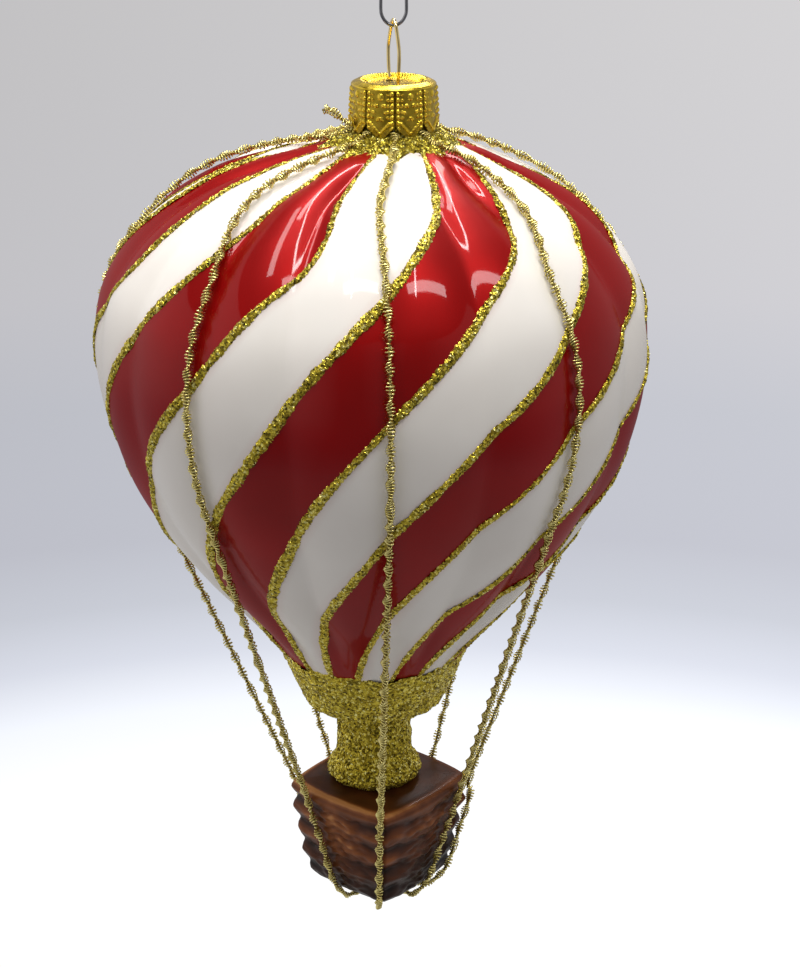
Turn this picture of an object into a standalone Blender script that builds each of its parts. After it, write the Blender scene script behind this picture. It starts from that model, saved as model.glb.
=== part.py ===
"""Blown glass hanging ornament in the form of a hot air balloon.

A ribbed, mould-blown glass envelope sits in a glittered throat, whose foot stands on a small woven basket.
Eight crinkled wires run from a tie round the glass neck, down the creases of the envelope, over the
basket's rim and under its bottom, where they are gathered. A stamped metal cap covers the neck. A spring
wire loop comes through the cap's top and hangs in the eye of a steel hook.

Metres, +Z up, the front towards -Y. The origin is the inside of the hook's upper bend, where it hangs.
Depths named "drop" are measured down from the cap's top plane.
"""
import math

import bmesh
import bpy
from mathutils import Vector
from mathutils.geometry import delaunay_2d_cdt

GAP = 0.0003

# Steel hook
HOOK_WIRE = 0.00056
HOOK_REACH = 0.034
HOOK_BEND_RADIUS = 0.005
EYE_WIDTH = 0.0047
EYE_HEIGHT = 0.0080

# Spring wire loop through the cap
LOOP_WIRE = 0.0006
LOOP_RISE = 0.0092
LOOP_YAW = math.radians(20.0)
LEG_SPREAD = 0.0021
LEG_END_DROP = 0.0095

# Heights that follow from the way the pieces hang
EYE_BOTTOM = -HOOK_REACH
CAP_TOP = EYE_BOTTOM + GAP - LOOP_RISE

# Stamped cap
CAP_RADIUS = 0.00725
CAP_METAL = 0.00035
CAP_PETALS = 9
CAP_SEAM_ANGLE = math.radians(2.0)
CAP_NOTCH_DROP = 0.0059
CAP_TIP_DROP = 0.0090
CAP_HOLE_RADIUS = 0.00065
CAP_COLUMNS_PER_PETAL = 4

# Glass envelope
ENVELOPE_X = -0.00365
GLASS = 0.0010
NECK_RADIUS = 0.0056
NECK_DROP = 0.0016
NECK_BORE_DROP = 0.0098
SHOULDER_RADIUS = 0.0085
WIDEST_DROP = 0.0440
GORES = 18
GORE_PHASE = math.radians(4.0)
COLUMNS_PER_GORE = 4
RING_STEP = 0.0065
LEAN_START_RADIUS = 0.0070
LEAN_END_RADIUS = 0.0280
RIB_DEPTH = 0.0012
SHOULDER_RIB_DEPTH = 0.0014
# Radii between which the creases grow to their full depth, above and below the widest place
UPPER_RIB_FADE = (0.0090, 0.0210)
LOWER_RIB_FADE = (0.0145, 0.0265)

# Crests of the gores, as drop and radius, from the neck's mouth to the end inside the throat's cup
ENVELOPE_OUTLINE = (
    (NECK_DROP, NECK_RADIUS), (0.0050, NECK_RADIUS), (0.0086, NECK_RADIUS), (0.0095, 0.0064),
    (0.0099, 0.0080), (0.0106, 0.0115), (0.0119, 0.0168), (0.0135, 0.0216), (0.0152, 0.0261),
    (0.0178, 0.0310), (0.0210, 0.0358), (0.0260, 0.0407), (0.0340, 0.0455), (WIDEST_DROP, 0.0471),
    (0.0540, 0.0461), (0.0640, 0.0431), (0.0740, 0.0377), (0.0840, 0.0307), (0.0920, 0.0238),
    (0.0980, 0.0186), (0.1030, 0.0146), (0.1070, 0.0117), (0.1096, 0.0080), (0.1108, 0.0036),
)
ENVELOPE_END_DROP = 0.1110

# Glitter lines: low ridges along the edges of the painted stripes
LINE_COUNT = 18
LINE_HALF_WIDTH = 0.0009
LINE_HEIGHT = 0.00045
LINE_CLEARANCE = 0.0006
PLANE_RADIUS = 0.030
LINE_START_RADIUS = 0.0110
LINE_END_DROP = 0.1015
LINE_DROPS = (0.010, 0.014, 0.020, 0.028, 0.038, 0.054, 0.070, 0.086, 0.102)
# Courses of the lines that are drawn one by one, in degrees at each of those drops. The rest, at the
# back, are spaced evenly between the last and the first.
LINE_COURSES = (
    (-104, -86, -83, -88, -101, -112, -125, -140, -152),
    (-67, -63, -63, -67, -80, -92, -105, -120, -132),
    (-40, -36, -39, -47, -58, -71, -84, -99, -111),
    (-16, -12, -13, -24, -34, -50, -63, -79, -91),
    (28, 26, 13, 0, -12, -26, -41, -53, -66),
    (62, 52, 41, 25, 11, -7, -20, -34, -43),
    (86, 78, 70, 53, 37, 15, -1, -16, -27),
    (110, 102, 95, 84, 61, 38, 17, 3, -10),
    (134, 126, 118, 110, 90, 63, 44, 22, 11),
    (154, 148, 140, 131, 115, 88, 67, 40, 29),
)

# Glittered throat: the cup that the envelope sits in, the neck and the foot
THROAT_LIP_DROP = 0.1026
THROAT_OUTLINE = (
    (THROAT_LIP_DROP, 0.0155), (0.1035, 0.0156), (0.1070, 0.0139), (0.1095, 0.0129), (0.1109, 0.0122),
    (0.1118, 0.0106), (0.1125, 0.0086), (0.1132, 0.0071), (0.1145, 0.0067), (0.1180, 0.0066),
    (0.1212, 0.0068), (0.1228, 0.0075), (0.1242, 0.0083), (0.1256, 0.0085), (0.1266, 0.0083),
    (0.1270, 0.0077),
)
FOOT_DROP = 0.1270
THROAT_STEPS = 32

# Woven basket
BASKET_X = ENVELOPE_X + 0.0008
BASKET_YAW = math.radians(3.5)
BASKET_RIM_DROP = 0.1284
BASKET_DOME_DROP = FOOT_DROP + GAP
BASKET_BOTTOM_DROP = 0.1489
BASKET_SQUARENESS = 1.13
BASKET_BANDS = 4.5
BASKET_FIRST_BAND = 0.07
BASKET_LEVELS = 26
BAND_CREST = 0.0001
BAND_DEPTH = 0.0009
BASKET_COLUMNS = 36
# Half diagonal at each share of the height, from the rim to the bottom
BASKET_TAPER = (
    (0.0, 0.0161), (0.25, 0.0157), (0.47, 0.0148), (0.68, 0.0142), (0.80, 0.0135), (0.88, 0.0127),
    (0.93, 0.0118), (0.97, 0.0105), (1.0, 0.0090),
)

# Crinkled wires
WIRE_DIAMETER = 0.0011
WIRE_LIFT = 0.0014
WIRE_START_RADIUS = 0.0070
WIRE_START_DROP = 0.00775
WIRE_FAN_RADII = (0.0070, 0.0160)
TIE_DIAMETER = 0.0007
TIE_RADIUS = 0.00625
WIRE_GATHER_RADIUS = 0.0031
GATHER_RADIUS = 0.0021
GATHER_HEIGHT = 0.0012
WIRE_BASKET_POINTS = 9
WIRE_SMOOTHNESS = 0.00007
# Drops between which a wire passes from its place on the shoulder to its place on the flank
WIRE_TURN_DROPS = (0.0125, 0.0260)
# For each wire, in degrees from the front towards +X: the cap's notch that it leaves by, its place on
# the shoulder and on the flank, where it meets the basket's rim, and where it is gathered below
WIRE_ROUTES = (
    (2, 3, 4, -1, -4), (42, 55, 44, 80, 46), (122, 112, 104, 98, 76), (162, 144, 140, 134, 140),
    (202, 184, 184, 184, 184), (242, 224, 224, 222, 225), (282, 254, 265, 264, 254),
    (322, 316, 323, 297, 318),
)


def material(name, colour, roughness, metallic):
    made = bpy.data.materials.new(name)
    made.use_nodes = True
    shader = made.node_tree.nodes["Principled BSDF"]
    shader.inputs["Base Color"].default_value = (*colour, 1.0)
    shader.inputs["Roughness"].default_value = roughness
    shader.inputs["Metallic"].default_value = metallic
    return made


def catmull_rom(points, steps):
    """A smooth curve through points, with the given number of steps between each pair."""
    points = [Vector(p) for p in points]
    ends = [2 * points[0] - points[1]] + points + [2 * points[-1] - points[-2]]
    curve = []
    for i in range(len(points) - 1):
        before, start, end, after = ends[i:i + 4]
        count = steps(start, end) if callable(steps) else steps
        for k in range(count):
            t = k / count
            curve.append(0.5 * (2 * start + (end - before) * t
                                + (2 * before - 5 * start + 4 * end - after) * t ** 2
                                + (3 * start - before - 3 * end + after) * t ** 3))
    curve.append(points[-1])
    return curve


def thinned(points, tolerance):
    """The same path with only the points that keep it within the tolerance."""
    kept = [points[0]]
    start = 0
    for end in range(2, len(points)):
        chord = (points[end] - points[start]).normalized()
        offsets = [p - points[start] for p in points[start + 1:end]]
        if max((o - chord * o.dot(chord)).length for o in offsets) > tolerance:
            start = end - 1
            kept.append(points[start])
    kept.append(points[-1])
    return kept


def at_drop(x, y, drop):
    return Vector((x, y, CAP_TOP - drop))


def around(centre_x, radius, angle, drop):
    """A point at a radius and an angle, counted from the front towards +X, about a vertical axis."""
    return at_drop(centre_x + radius * math.sin(angle), -radius * math.cos(angle), drop)


def wire_object(name, points, diameter, finish, bevel_resolution=1, cyclic=False):
    curve = bpy.data.curves.new(name, "CURVE")
    curve.dimensions = "3D"
    curve.bevel_depth = diameter / 2
    curve.bevel_resolution = bevel_resolution
    curve.use_fill_caps = not cyclic
    spline = curve.splines.new("POLY")
    spline.points.add(len(points) - 1)
    for target, point in zip(spline.points, points):
        target.co = (*point, 1.0)
    spline.use_cyclic_u = cyclic
    spline.use_smooth = True
    made = bpy.data.objects.new(name, curve)
    bpy.context.collection.objects.link(made)
    curve.materials.append(finish)
    return made


def mesh_object(name, bm, finish):
    bmesh.ops.recalc_face_normals(bm, faces=bm.faces)
    mesh = bpy.data.meshes.new(name)
    bm.to_mesh(mesh)
    bm.free()
    mesh.shade_smooth()
    mesh.set_sharp_from_angle(angle=math.radians(40))
    made = bpy.data.objects.new(name, mesh)
    bpy.context.collection.objects.link(made)
    mesh.materials.append(finish)
    return made


def lofted(name, rings, finish, start_tip=None, end_tip=None):
    """A skin over rings of equal count, closed at each end by a fan to its tip, or by a flat face."""
    bm = bmesh.new()
    loops = [[bm.verts.new(point) for point in ring] for ring in rings]
    for upper, lower in zip(loops, loops[1:]):
        for i in range(len(upper)):
            j = (i + 1) % len(upper)
            bm.faces.new((upper[i], upper[j], lower[j], lower[i]))
    for loop, tip in ((loops[0], start_tip), (loops[-1], end_tip)):
        if tip is None:
            bm.faces.new(loop)
            continue
        centre = bm.verts.new(tip)
        for i in range(len(loop)):
            bm.faces.new((loop[i], loop[(i + 1) % len(loop)], centre))
    return mesh_object(name, bm, finish)


def turned(name, profile, centre_x, steps, finish):
    """A solid turned about a vertical axis from radius and drop pairs that end on the axis."""
    mesh = bpy.data.meshes.new(name)
    points = [(radius, 0, -drop) for radius, drop in profile]
    mesh.from_pydata(points, [(i, i + 1) for i in range(len(points) - 1)], [])
    made = bpy.data.objects.new(name, mesh)
    bpy.context.collection.objects.link(made)
    made.location = at_drop(centre_x, 0, 0)
    mesh.materials.append(finish)
    screw = made.modifiers.new("Turn", "SCREW")
    screw.axis = "Z"
    screw.steps = steps
    screw.render_steps = steps
    screw.use_merge_vertices = True
    screw.merge_threshold = 0.00001
    return made


def cut(target, cutter):
    cutter.hide_render = True
    cutter.display_type = "WIRE"
    boolean = target.modifiers.new("Cut", "BOOLEAN")
    boolean.operation = "DIFFERENCE"
    boolean.solver = "EXACT"
    boolean.object = cutter


# Shape of the envelope

def ring_steps(start, end):
    return max(1, math.ceil((end - start).length / RING_STEP))


OUTLINE = catmull_rom([(drop, radius, 0) for drop, radius in ENVELOPE_OUTLINE], ring_steps)


def outline_normal(i):
    """Outward direction, as drop and radius, at a point of the outline."""
    before = OUTLINE[max(i - 1, 0)]
    after = OUTLINE[min(i + 1, len(OUTLINE) - 1)]
    along = (after - before).normalized()
    return Vector((-along.y, along.x, 0))


def share_between(low, high, value):
    """How far the value lies from low to high, from 0 to 1, eased at both ends."""
    share = min(1.0, max(0.0, (value - low) / (high - low)))
    return share * share * (3 - 2 * share)


def rib_depth(i):
    """Depth of the creases: none at the neck and in the cup, deepest on the shoulder."""
    drop, radius, _ = OUTLINE[i]
    if drop < WIDEST_DROP:
        depth = SHOULDER_RIB_DEPTH + (RIB_DEPTH - SHOULDER_RIB_DEPTH) * drop / WIDEST_DROP
        return depth * share_between(*UPPER_RIB_FADE, radius)
    return RIB_DEPTH * share_between(*LOWER_RIB_FADE, radius)


def crease(angle):
    """1 in a crease between two gores, 0 on the crest of a gore."""
    share = ((angle - GORE_PHASE) / (2 * math.pi / GORES)) % 1.0
    from_crease = 2 * min(share, 1 - share)
    return (1 - from_crease) ** 2


def lean(radius, drop):
    """Sideways place of the ring's centre: the neck stands off the envelope's axis."""
    if drop > WIDEST_DROP:
        return ENVELOPE_X
    return ENVELOPE_X * share_between(LEAN_START_RADIUS, LEAN_END_RADIUS, radius)


def envelope_point(i, angle, lift):
    """A point above the crests' outline by lift, measured square to it."""
    drop, radius, _ = OUTLINE[i] + outline_normal(i) * lift
    return around(lean(OUTLINE[i].y, OUTLINE[i].x), radius, angle, drop)


def read_off(pairs, place):
    """The second value at a place of the first, from rising pairs."""
    for (low, start), (high, end) in zip(pairs, pairs[1:]):
        if place <= high:
            return start + (end - start) * (max(place, low) - low) / (high - low)
    return pairs[-1][1]


def line_course(number):
    """Angles in degrees at LINE_DROPS."""
    drawn = len(LINE_COURSES)
    if number < drawn:
        return LINE_COURSES[number]
    share = (number - drawn + 1) / (LINE_COUNT - drawn + 1)
    return [last + (first + 360 - last) * share for last, first in zip(LINE_COURSES[-1], LINE_COURSES[0])]


LINE_RINGS = [i for i in range(len(OUTLINE))
              if OUTLINE[i].y > LINE_START_RADIUS and OUTLINE[i].x < LINE_END_DROP]


def line_at_rings(number):
    """For each ring that a line crosses: the line's angle and half its width, both in radians."""
    smooth = catmull_rom([(drop, math.radians(angle), 0) for drop, angle in
                          zip(LINE_DROPS, line_course(number))], 8)
    pairs = [(p.x, p.y) for p in smooth]
    angles = {i: read_off(pairs, OUTLINE[i].x) for i in LINE_RINGS}
    crossings = {}
    for i in LINE_RINGS:
        before = max(i - 1, LINE_RINGS[0])
        after = min(i + 1, LINE_RINGS[-1])
        length = (OUTLINE[after] - OUTLINE[before]).length
        slant = OUTLINE[i].y * (angles[after] - angles[before]) / length
        crossings[i] = (angles[i], LINE_HALF_WIDTH * math.hypot(1, slant) / OUTLINE[i].y)
    return crossings


LINES = [line_at_rings(number) for number in range(LINE_COUNT)]


def from_line(i, angle):
    """Distance from the nearest glitter line, as a share of its half width, and that half width."""
    low = min(max(int(i), LINE_RINGS[0]), LINE_RINGS[-1] - 1)
    share = min(max(i - low, 0.0), 1.0)
    nearest = []
    for line in LINES:
        centre = line[low][0] + (line[low + 1][0] - line[low][0]) * share
        half = line[low][1] + (line[low + 1][1] - line[low][1]) * share
        off = abs((angle - centre + math.pi) % (2 * math.pi) - math.pi)
        nearest.append((off / half, half))
    return min(nearest)


def glass_point(i, angle):
    """A point of the outside, at a place between rings: the gores, their creases and the glitter lines."""
    low = min(int(i), len(OUTLINE) - 2)
    swell = min(1.0, max(0.0, i - LINE_RINGS[0]), max(0.0, LINE_RINGS[-1] - i))
    ridge = LINE_HEIGHT * swell * max(0.0, 1 - from_line(i, angle)[0])
    upper, lower = [envelope_point(k, angle, ridge - rib_depth(k) * crease(angle)) for k in (low, low + 1)]
    return upper.lerp(lower, i - low)


def unrolled_envelope():
    """Points and edges of the outside unrolled into turn and ring: a grid, and the glitter lines over it."""
    columns = GORES * COLUMNS_PER_GORE
    whole = 2 * math.pi
    points, edges = [], []
    sides = {0.0: {}, whole: {}}

    def point(turn, i):
        if turn in sides and i in sides[turn]:
            return sides[turn][i]
        points.append((turn, i))
        if turn in sides:
            sides[turn][i] = len(points) - 1
        return len(points) - 1

    grid = {}
    for i in range(len(OUTLINE)):
        for k in range(columns + 1):
            turn = whole * k / columns
            beside = k in (0, columns) or i not in LINE_RINGS
            if not beside:
                share, half = from_line(i, GORE_PHASE + turn)
                beside = (share - 1) * half * OUTLINE[i].y > LINE_CLEARANCE
            if beside:
                grid[k, i] = point(turn, i)
    for line in LINES:
        for side in (-1, 0, 1):
            course = [(line[i][0] + side * line[i][1] - GORE_PHASE, i) for i in LINE_RINGS]
            for (start, upper), (end, lower) in zip(course, course[1:]):
                turns = sorted((start // whole, end // whole))
                if turns[0] == turns[1]:
                    edges.append((point(start % whole, upper), point(end % whole, lower)))
                    continue
                seam = upper + (turns[1] * whole - start) / (end - start)
                leaves, enters = (0.0, whole) if end < start else (whole, 0.0)
                edges.append((point(start % whole, upper), point(leaves, seam)))
                edges.append((point(enters, seam), point(end % whole, lower)))
    for k in range(COLUMNS_PER_GORE, columns, COLUMNS_PER_GORE):
        crease_points = [grid[k, i] for i in range(len(OUTLINE)) if (k, i) in grid]
        edges += zip(crease_points, crease_points[1:])
    for side in sides.values():
        seam_points = [side[i] for i in sorted(side)]
        edges += zip(seam_points, seam_points[1:])
    return points, edges


def build_envelope(finish):
    points, edges = unrolled_envelope()
    flat = [Vector((turn * PLANE_RADIUS, i * RING_STEP)) for turn, i in points]
    spots, _, faces, _, _, _ = delaunay_2d_cdt(flat, edges, [], 0, 1e-8)
    bm = bmesh.new()
    glass = [bm.verts.new(glass_point(y / RING_STEP, GORE_PHASE + x / PLANE_RADIUS)) for x, y in spots]
    for face in faces:
        bm.faces.new([glass[k] for k in face])
    bmesh.ops.remove_doubles(bm, verts=bm.verts, dist=0.000004)
    bmesh.ops.dissolve_degenerate(bm, edges=bm.edges, dist=0.00005)
    bmesh.ops.holes_fill(bm, edges=bm.edges, sides=0)
    envelope = mesh_object("envelope", bm, finish)

    hollow_angles = [2 * math.pi * k / 32 for k in range(32)]
    bore = NECK_RADIUS - GLASS
    hollow = [[around(0, bore, angle, drop) for angle in hollow_angles] for drop in (0.0, NECK_BORE_DROP)]
    shoulder = next(i for i in range(len(OUTLINE)) if OUTLINE[i].y > SHOULDER_RADIUS)
    for i in range(shoulder, len(OUTLINE) - 2, 2):
        hollow.append([envelope_point(i, angle, -rib_depth(i) - GLASS) for angle in hollow_angles])
    cutter = lofted("envelope_hollow", hollow, finish,
                    end_tip=at_drop(ENVELOPE_X, 0, ENVELOPE_END_DROP - 1.5 * GLASS))
    cut(envelope, cutter)
    return envelope


# Throat, basket and the gathered end under it

def build_throat(finish):
    outside = catmull_rom([(radius, drop, 0) for drop, radius in THROAT_OUTLINE], 1)
    cup = []
    for i in range(len(OUTLINE)):
        drop, radius, _ = OUTLINE[i] + outline_normal(i) * GAP
        if drop > THROAT_LIP_DROP + 0.0002:
            cup.append((radius, drop))
    lip = ((cup[0][0] + 0.0003, THROAT_LIP_DROP),)
    inside = [(0.0, ENVELOPE_END_DROP + GAP)] + cup[::-1]
    profile = inside + list(lip) + [(p.x, p.y) for p in outside] + [(0.0, FOOT_DROP)]
    return turned("throat", profile, ENVELOPE_X, THROAT_STEPS, finish)


def basket_radius(angle, share):
    """Outer radius of the rounded square basket, without its bands."""
    turn = angle - BASKET_YAW
    power = BASKET_SQUARENESS
    square = (abs(math.cos(turn)) ** power + abs(math.sin(turn)) ** power) ** (1 / power)
    return read_off(BASKET_TAPER, share) / square


def basket_drop(share):
    return BASKET_RIM_DROP + (BASKET_BOTTOM_DROP - BASKET_RIM_DROP) * share


def beside_basket(angle, share, stand_off):
    """A point that stands off the basket's side, measured square to its slope."""
    step = 0.02
    fall = basket_drop(share + step) - basket_drop(share - step)
    run = basket_radius(angle, share - step) - basket_radius(angle, share + step)
    slant = math.hypot(fall, run)
    radius = basket_radius(angle, share) + stand_off * fall / slant
    return around(BASKET_X, radius, angle, basket_drop(share) + stand_off * run / slant)


def build_basket(finish):
    angles = [BASKET_YAW + 2 * math.pi * k / BASKET_COLUMNS for k in range(BASKET_COLUMNS)]
    rings = []
    for scale, drop in ((0.52, BASKET_DOME_DROP + 0.0001), (0.80, BASKET_DOME_DROP + 0.0004),
                        (0.94, BASKET_RIM_DROP - 0.0002)):
        rings.append([around(BASKET_X, scale * basket_radius(a, 0), a, drop) for a in angles])
    for k in range(1, BASKET_LEVELS + 1):
        share = k / BASKET_LEVELS
        dip = 0.5 - 0.5 * math.cos(2 * math.pi * (share * BASKET_BANDS - BASKET_FIRST_BAND))
        band = BAND_CREST - BAND_DEPTH * dip
        rings.append([around(BASKET_X, basket_radius(a, share) + band, a, basket_drop(share))
                      for a in angles])
    return lofted("basket", rings, finish, start_tip=at_drop(BASKET_X, 0, BASKET_DOME_DROP))


def build_gather(finish):
    top = BASKET_BOTTOM_DROP + GAP
    profile = [(0.0, top), (GATHER_RADIUS * 0.8, top), (GATHER_RADIUS, top + GATHER_HEIGHT * 0.35),
               (GATHER_RADIUS * 0.8, top + GATHER_HEIGHT * 0.8), (0.0, top + GATHER_HEIGHT)]
    return turned("wire_gather", profile, BASKET_X, 16, finish)


# Wires

def wire_angle(i, notch, shoulder, flank):
    """Where a wire lies round the envelope at a point of the outline."""
    drop, radius, _ = OUTLINE[i]
    if drop > WIDEST_DROP:
        radius = LEAN_END_RADIUS
    angle = notch + (shoulder - notch) * share_between(*WIRE_FAN_RADII, radius)
    return angle + (flank - shoulder) * share_between(*WIRE_TURN_DROPS, drop)


def wire_path(notch, shoulder, flank, rim, gather):
    """From the tie over the shoulder and down the flank, straight to the rim, and under the basket."""
    path = [around(0, WIRE_START_RADIUS, notch, WIRE_START_DROP)]
    stand_off = GAP + WIRE_DIAMETER / 2 + 2 * BAND_CREST + 2 * WIRE_SMOOTHNESS
    rim_radius = basket_radius(rim, 0) + stand_off

    def line_slope(i):
        drop, radius, _ = OUTLINE[i]
        return (radius - rim_radius * math.cos(rim - flank)) / (BASKET_RIM_DROP - drop)

    on_glass = [i for i in range(len(OUTLINE))
                if OUTLINE[i].y > SHOULDER_RADIUS and OUTLINE[i].x < THROAT_LIP_DROP]
    leaves = max(on_glass, key=line_slope)
    for i in range(on_glass[0], leaves + 1):
        angle = wire_angle(i, notch, shoulder, flank)
        path.append(envelope_point(i, angle, WIRE_LIFT - rib_depth(i) * crease(angle)))
    leave_point = path[-1]
    beside = []
    for k in range(WIRE_BASKET_POINTS):
        share = 0.03 + 0.94 * k / (WIRE_BASKET_POINTS - 1)
        beside.append(beside_basket(rim + (gather - rim) * share, share, stand_off))
    path += [leave_point.lerp(beside[0], k / 4) for k in (1, 2, 3)] + beside
    under = BASKET_BOTTOM_DROP + stand_off
    edge = basket_radius(gather, 1.0)
    path.append(around(BASKET_X, edge + 0.35 * stand_off, gather, under - 0.25 * stand_off))
    path.append(around(BASKET_X, 0.8 * edge, gather, under))
    path.append(around(BASKET_X, WIRE_GATHER_RADIUS, gather, under))
    return thinned(catmull_rom(path, 6), WIRE_SMOOTHNESS)


def build_wires(finish):
    for number, route in enumerate(WIRE_ROUTES, start=1):
        points = wire_path(*(math.radians(angle) for angle in route))
        wire_object(f"crinkle_wire_{number}", points, WIRE_DIAMETER, finish)


def build_tie(finish):
    circle = [around(0, TIE_RADIUS, 2 * math.pi * k / 24, WIRE_START_DROP) for k in range(24)]
    return wire_object("neck_tie", circle, TIE_DIAMETER, finish, cyclic=True)


# Cap, loop and hook

def build_cap(finish):
    columns = CAP_PETALS * CAP_COLUMNS_PER_PETAL
    angles = [CAP_SEAM_ANGLE + 2 * math.pi * k / columns for k in range(columns)]

    def edge_drop(angle):
        share = ((angle - CAP_SEAM_ANGLE) / (2 * math.pi / CAP_PETALS)) % 1.0
        towards_tip = 2 * min(share, 1 - share)
        return CAP_NOTCH_DROP + (CAP_TIP_DROP - CAP_NOTCH_DROP) * towards_tip

    outside = ((0.0039, 0.0007), (0.0049, 0.0004), (0.0054, 0.00005), (0.0060, 0.0), (0.0067, 0.0003),
               (0.0071, 0.0009), (CAP_RADIUS, 0.0018), (CAP_RADIUS, 0.0050))
    inner_radius = CAP_RADIUS - CAP_METAL
    inside = ((inner_radius, 0.0050), (inner_radius, 0.0019), (0.0067, 0.0011), (0.0064, 0.0006),
              (0.0059, 0.00035), (0.0055, 0.0004), (0.0050, 0.0008), (0.0039, 0.00105))
    rings = [[around(0, radius, a, drop) for a in angles] for radius, drop in outside]
    rings.append([around(0, CAP_RADIUS, a, edge_drop(a)) for a in angles])
    rings.append([around(0, inner_radius, a, edge_drop(a)) for a in angles])
    rings += [[around(0, radius, a, drop) for a in angles] for radius, drop in inside]
    cap = lofted("cap", rings, finish, start_tip=at_drop(0, 0, 0.0007), end_tip=at_drop(0, 0, 0.00105))
    for number, side in enumerate((-1, 1), start=1):
        bpy.ops.mesh.primitive_cylinder_add(vertices=12, radius=CAP_HOLE_RADIUS, depth=0.003)
        drill = bpy.context.object
        drill.name = f"cap_drill_{number}"
        drill.location = loop_point(side * LEG_SPREAD, 0.0)
        cut(cap, drill)
    return cap


def loop_point(across, drop):
    """A point in the plane of the loop, which is turned from the view's own plane."""
    return at_drop(-across * math.sin(LOOP_YAW), across * math.cos(LOOP_YAW), drop)


def build_loop(finish):
    top = LOOP_RISE + LOOP_WIRE / 2
    side = ((0.0007, -top + 0.0004), (0.0013, -top + 0.0013), (0.0024, -top + 0.0040), (0.0026, -0.0038),
            (0.0024, -0.0016), (LEG_SPREAD, 0.0), (LEG_SPREAD, 0.0012), (0.0024, 0.0040),
            (0.0031, 0.0072), (0.0034, LEG_END_DROP))
    points = [(-across, drop) for across, drop in side[::-1]] + [(0.0, -top)] + list(side)
    path = catmull_rom([loop_point(across, drop) for across, drop in points], 3)
    return wire_object("hanger_loop", path, LOOP_WIRE, finish)


def build_hook(finish):
    half_wire = HOOK_WIRE / 2
    eye = EYE_WIDTH / 2 - half_wire
    low = EYE_BOTTOM - half_wire
    bend = HOOK_BEND_RADIUS + half_wire
    points = [(0.0012, low + EYE_HEIGHT), (0.0019, low + 0.75 * EYE_HEIGHT)]
    for k in range(7):
        turn = math.pi * k / 6
        points.append((eye * math.cos(turn), low + 1.3 * eye - 1.3 * eye * math.sin(turn)))
    points += [(-0.0019, low + 0.75 * EYE_HEIGHT), (-0.0010, low + EYE_HEIGHT + 0.0005),
               (-0.0009, low + 0.0120), (-0.0030, -0.0135), (-0.0050, -0.0075)]
    for k in range(9):
        turn = math.pi * (1 - k / 8)
        points.append((bend * math.cos(turn), -HOOK_BEND_RADIUS + bend * math.sin(turn)))
    points += [(0.0051, -0.0075), (0.0042, -0.0100)]
    path = catmull_rom([(x, 0, z) for x, z in points], 2)
    return wire_object("steel_hook", path, HOOK_WIRE, finish)


def main():
    for old in list(bpy.data.objects):
        bpy.data.objects.remove(old)
    glass = material("red_glass", (0.50, 0.01, 0.02), 0.08, 0.4)
    glitter = material("gold_glitter", (0.45, 0.36, 0.08), 0.45, 0.9)
    basket_lacquer = material("brown_lacquer", (0.16, 0.05, 0.02), 0.25, 0.3)
    gold_cap = material("gold_cap", (0.85, 0.60, 0.10), 0.25, 1.0)
    gold_wire = material("pale_gold_wire", (0.62, 0.55, 0.28), 0.35, 1.0)
    steel = material("dark_steel", (0.30, 0.30, 0.31), 0.30, 1.0)
    build_hook(steel)
    build_loop(gold_wire)
    build_cap(gold_cap)
    build_envelope(glass)
    build_throat(glitter)
    build_basket(basket_lacquer)
    build_tie(gold_wire)
    build_wires(gold_wire)
    build_gather(gold_wire)


main()
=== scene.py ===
"""Looks of the hanging ornament: a blown glass hot air balloon with painted stripes and glitter.

Metres, +Z up, the front towards -Y. Angles round the ornament are counted from the front towards +X, and a
"drop" is a depth below the cap's top plane. The pieces follow one another as the ornament is put together.
"""
import math

import bmesh
import bpy
import numpy as np
from mathutils import Matrix, Vector, noise


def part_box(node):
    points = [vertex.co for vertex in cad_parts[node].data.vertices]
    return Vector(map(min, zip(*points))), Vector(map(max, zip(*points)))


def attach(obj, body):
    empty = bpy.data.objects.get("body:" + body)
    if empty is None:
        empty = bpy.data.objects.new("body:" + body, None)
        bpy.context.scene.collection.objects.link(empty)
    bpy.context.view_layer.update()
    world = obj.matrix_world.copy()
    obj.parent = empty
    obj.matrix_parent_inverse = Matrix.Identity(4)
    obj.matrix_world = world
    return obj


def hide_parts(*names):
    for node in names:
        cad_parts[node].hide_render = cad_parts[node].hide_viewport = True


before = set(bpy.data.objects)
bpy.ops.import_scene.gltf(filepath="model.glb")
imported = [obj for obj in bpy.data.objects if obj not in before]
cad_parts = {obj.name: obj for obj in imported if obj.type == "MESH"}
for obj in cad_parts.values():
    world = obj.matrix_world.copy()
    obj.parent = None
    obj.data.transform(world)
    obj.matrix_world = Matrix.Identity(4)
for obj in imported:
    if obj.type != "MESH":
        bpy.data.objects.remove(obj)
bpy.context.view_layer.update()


# The photographer's stand
# The camera looks down on the ornament by 20.8 degrees through a long lens. The place is fixed on the cap,
# whose top plane is the height that every drop is measured from.
CAP_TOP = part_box("cap")[1].z
LENS = 82.95
SENSOR = 36.0
LOOKS_DOWN = math.radians(20.8)
CAMERA_FROM_CAP = Vector((0.00103, -0.363, 0.06728))

camera = bpy.data.objects.new("camera", bpy.data.cameras.new("camera"))
bpy.context.scene.collection.objects.link(camera)
camera.data.sensor_width = SENSOR
camera.data.lens = LENS
camera.data.clip_start = 0.01
camera.location = CAMERA_FROM_CAP + Vector((0, 0, CAP_TOP))
camera.rotation_euler = (math.pi / 2 - LOOKS_DOWN, 0, 0)
bpy.context.scene.camera = camera
bpy.context.scene.view_settings.view_transform = "Standard"


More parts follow.
